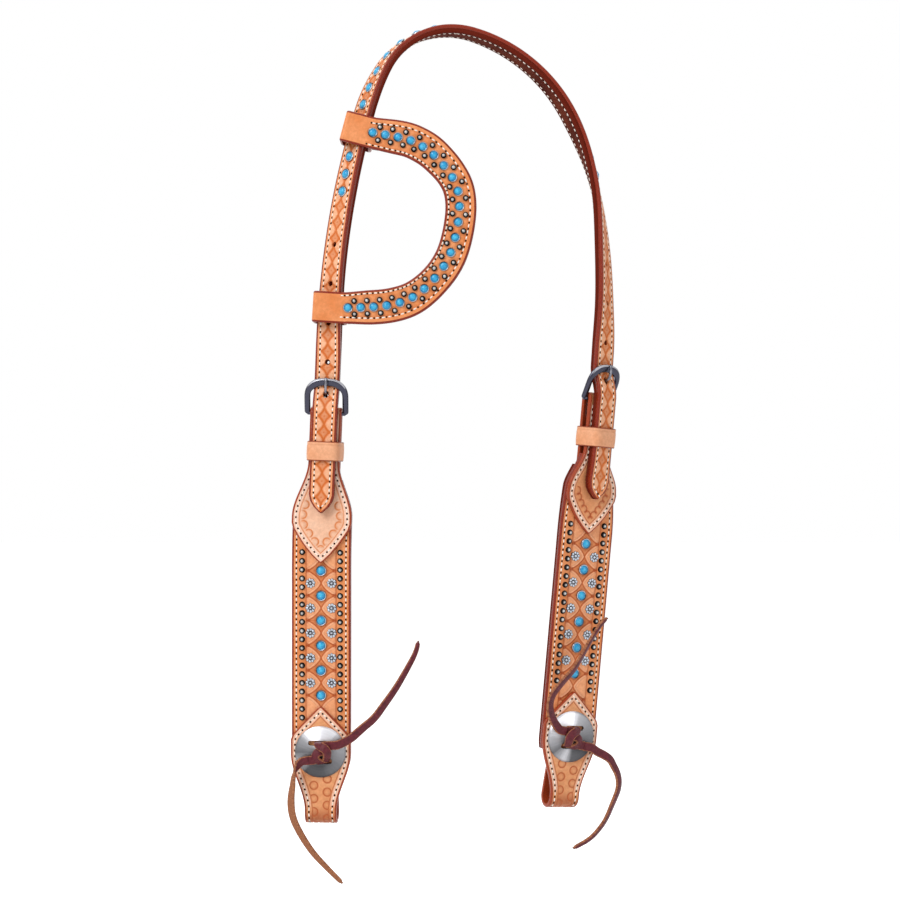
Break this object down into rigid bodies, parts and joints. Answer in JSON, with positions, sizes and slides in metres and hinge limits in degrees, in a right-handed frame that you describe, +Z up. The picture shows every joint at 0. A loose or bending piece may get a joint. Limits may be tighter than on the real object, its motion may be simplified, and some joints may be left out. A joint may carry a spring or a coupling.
{
  "type": "western one ear headstall",
  "caption": "Western one ear headstall: doubled crown strap on two side buckles, sliding shaped ear piece, studded cheeks, conchos with leather ties and folded bit loops.",
  "frame": {"origin": "the underside of the crown strap where it lies over the poll", "axes": "+Z up, along the hanging headstall; -Y the side the ear piece and the tooled faces show; +X across the head, from the cheek with the ear piece to the other cheek"},
  "size_m": [0.214, 0.038, 0.5468],
  "materials": {
    "tooled_leather": "waxed, tooled",
    "overlay_leather": "waxed, stamped border",
    "plain_leather": "waxed, plain",
    "lining_leather": "dark burgundy, matt",
    "thong_leather": "oiled burgundy lace",
    "buckle_metal": "dark antiqued",
    "brushed_steel": "spun brushed"
  },
  "bodies": {
    "headstall": {"crown_face": "tooled_leather", "crown_lining": "lining_leather", "left_cheek_face": "tooled_leather", "left_cheek_lining": "lining_leather", "left_top_billet": "overlay_leather", "left_bit_billet": "overlay_leather", "left_concho": "brushed_steel", "left_thong_knot": "thong_leather", "left_thong_tail_upper": "thong_leather", "left_thong_tail_lower": "thong_leather", "right_cheek_face": "tooled_leather", "right_cheek_lining": "lining_leather", "right_top_billet": "overlay_leather", "right_bit_billet": "overlay_leather", "right_concho": "brushed_steel", "right_thong_knot": "thong_leather", "right_thong_tail_upper": "thong_leather", "right_thong_tail_lower": "thong_leather"},
    "ear_piece": {"ear_face": "tooled_leather", "ear_lining": "lining_leather"},
    "left_frame": {"left_buckle_frame": "buckle_metal"},
    "left_tongue": {"left_buckle_tongue": "buckle_metal"},
    "left_keeper_loop": {"left_keeper": "plain_leather"},
    "right_frame": {"right_buckle_frame": "buckle_metal"},
    "right_tongue": {"right_buckle_tongue": "buckle_metal"},
    "right_keeper_loop": {"right_keeper": "plain_leather"}
  },
  "joints": [
    {"name": "ear_slide", "type": "hinge", "parent": "headstall", "child": "ear_piece", "pos_m": [0.49633, 0, -0.20901], "axis": [0, 1, 0], "range_deg": [-1.2, 0.8]},
    {"name": "left_frame_tilt", "type": "hinge", "parent": "headstall", "child": "left_frame", "pos_m": [-0.07824, 0.00199, -0.24098], "axis": [0.9968, -0.0698, -0.04], "range_deg": [0, 3]},
    {"name": "left_tongue_tilt", "type": "hinge", "parent": "left_frame", "child": "left_tongue", "pos_m": [-0.07824, 0.00199, -0.24098], "axis": [0.9968, -0.0698, -0.04], "range_deg": [0, 2]},
    {"name": "left_keeper_slide", "type": "slide", "parent": "headstall", "child": "left_keeper_loop", "axis": [0.0401, 0, 0.9992], "range_m": [-0.001, 0.012]},
    {"name": "right_frame_tilt", "type": "hinge", "parent": "headstall", "child": "right_frame", "pos_m": [0.09441, 0.00149, -0.23199], "axis": [0.7402, 0.6691, -0.0661], "range_deg": [0, 3]},
    {"name": "right_tongue_tilt", "type": "hinge", "parent": "right_frame", "child": "right_tongue", "pos_m": [0.09441, 0.00149, -0.23199], "axis": [0.7402, 0.6691, -0.0661], "range_deg": [0, 2]},
    {"name": "right_keeper_slide", "type": "slide", "parent": "headstall", "child": "right_keeper_loop", "axis": [0.0889, 0, 0.996], "range_m": [-0.001, 0.012]}
  ]
}
